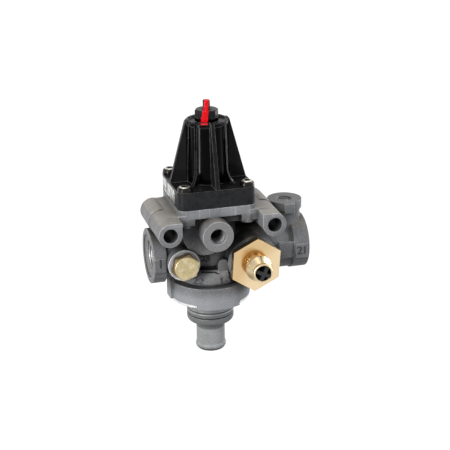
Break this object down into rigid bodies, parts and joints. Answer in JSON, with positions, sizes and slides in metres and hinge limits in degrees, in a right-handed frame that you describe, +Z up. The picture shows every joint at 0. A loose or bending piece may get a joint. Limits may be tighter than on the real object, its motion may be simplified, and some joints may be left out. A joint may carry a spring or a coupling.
{
  "type": "air compressor unloader valve",
  "caption": "Unloader valve for a vehicle air compressor, with a spring bonnet, threaded ports, a tyre inflation fitting and an exhaust spigot.",
  "frame": {"origin": "centre of the exhaust spigot's open end, on the main axis", "axes": "+Z up along the main axis towards the adjusting screw, +X towards port 21, -Y towards the front with the tyre inflation fitting"},
  "size_m": [0.1127, 0.0769, 0.1826],
  "materials": {
    "cast_aluminium": "fine-grained die casting, matte grey",
    "black_plastic": "glossy black glass-filled plastic",
    "black_steel": "black zinc-plated steel",
    "screw_steel": "dark glossy plated steel",
    "yellow_zinc": "yellow passivated zinc plating",
    "brass": "machined brass",
    "bright_steel": "bright spring steel",
    "spring_steel": "oiled spring wire",
    "turned_aluminium": "turned aluminium",
    "rubber": "nitrile rubber",
    "tappet_plastic": "matte black plastic",
    "strainer": "brass strainer",
    "foil": "crinkled silver foil"
  },
  "bodies": {
    "root": {"body": "cast_aluminium", "bonnet": "black_plastic", "bonnet_screws": "screw_steel", "thread_bush": "brass", "main_spring": "spring_steel", "diaphragm": "rubber", "pilot_spring": "spring_steel", "pilot_retainer": "bright_steel", "exhaust_seat": "turned_aluminium", "exhaust_seat_ring": "rubber", "return_spring": "spring_steel", "exhaust_cover": "cast_aluminium", "cover_ring": "rubber", "retaining_ring": "bright_steel", "filter_element": "strainer", "filter_clip": "bright_steel", "check_spring": "spring_steel", "check_retainer": "bright_steel", "check_clip": "bright_steel", "port_22_plug": "yellow_zinc", "port_22_washer": "turned_aluminium", "inflation_fitting": "brass", "inflation_washer": "turned_aluminium", "inflation_spring": "spring_steel", "label_foil": "foil"},
    "spring_seat": {"upper_spring_seat": "black_steel"},
    "adjusting_screw": {"adjusting_screw": "black_steel"},
    "lock_nut": {"lock_nut": "black_steel"},
    "control_piston": {"control_piston": "turned_aluminium", "control_piston_ring": "rubber", "diaphragm_plate": "turned_aluminium", "diaphragm_nut": "black_steel"},
    "pilot_valve": {"pilot_valve": "rubber"},
    "unloader_piston": {"unloader_piston": "turned_aluminium", "unloader_piston_ring": "rubber", "exhaust_valve": "rubber", "exhaust_valve_screw": "black_steel"},
    "check_valve": {"check_valve": "turned_aluminium", "check_seal": "rubber"},
    "inflation_tappet": {"inflation_tappet": "tappet_plastic"}
  },
  "joints": [
    {"name": "spring_seat_travel", "type": "slide", "parent": "root", "child": "spring_seat", "axis": [0, 0, 1], "range_m": [-0.00124, 0.00124], "deforming": ["main_spring"]},
    {"name": "adjusting_screw_turn", "type": "hinge", "parent": "spring_seat", "child": "adjusting_screw", "pos_m": [0, 0, 0.1766], "axis": [0, 0, 1], "range_deg": [-360, 360]},
    {"name": "lock_nut_turn", "type": "hinge", "parent": "root", "child": "lock_nut", "pos_m": [0, 0, 0.172], "axis": [0, 0, 1], "range_deg": [0, 180]},
    {"name": "control_piston_lift", "type": "slide", "parent": "root", "child": "control_piston", "axis": [0, 0, 1], "range_m": [0, 0.0012], "stiffness_N_per_m": 8000, "springref_m": -0.004, "deforming": ["diaphragm", "main_spring"]},
    {"name": "pilot_valve_lift", "type": "slide", "parent": "root", "child": "pilot_valve", "axis": [0, 0, 1], "range_m": [0, 0.0006], "deforming": ["pilot_spring"]},
    {"name": "unloader_piston_drop", "type": "slide", "parent": "root", "child": "unloader_piston", "axis": [0, 0, -1], "range_m": [0, 0.004], "stiffness_N_per_m": 2000, "springref_m": -0.004, "deforming": ["return_spring"]},
    {"name": "check_valve_open", "type": "slide", "parent": "root", "child": "check_valve", "axis": [1, 0, 0], "range_m": [0, 0.004], "stiffness_N_per_m": 300, "springref_m": -0.004, "deforming": ["check_spring"]},
    {"name": "inflation_tappet_push", "type": "slide", "parent": "root", "child": "inflation_tappet", "axis": [0, 1, 0], "range_m": [0, 0.005], "stiffness_N_per_m": 500, "springref_m": -0.003, "deforming": ["inflation_spring"]}
  ],
  "couplings": [
    {"joint": "adjusting_screw_turn", "follows": "spring_seat_travel", "rad_per_m": 5026.5},
    {"joint": "pilot_valve_lift", "follows": "control_piston_lift", "ratio": 0.5}
  ]
}
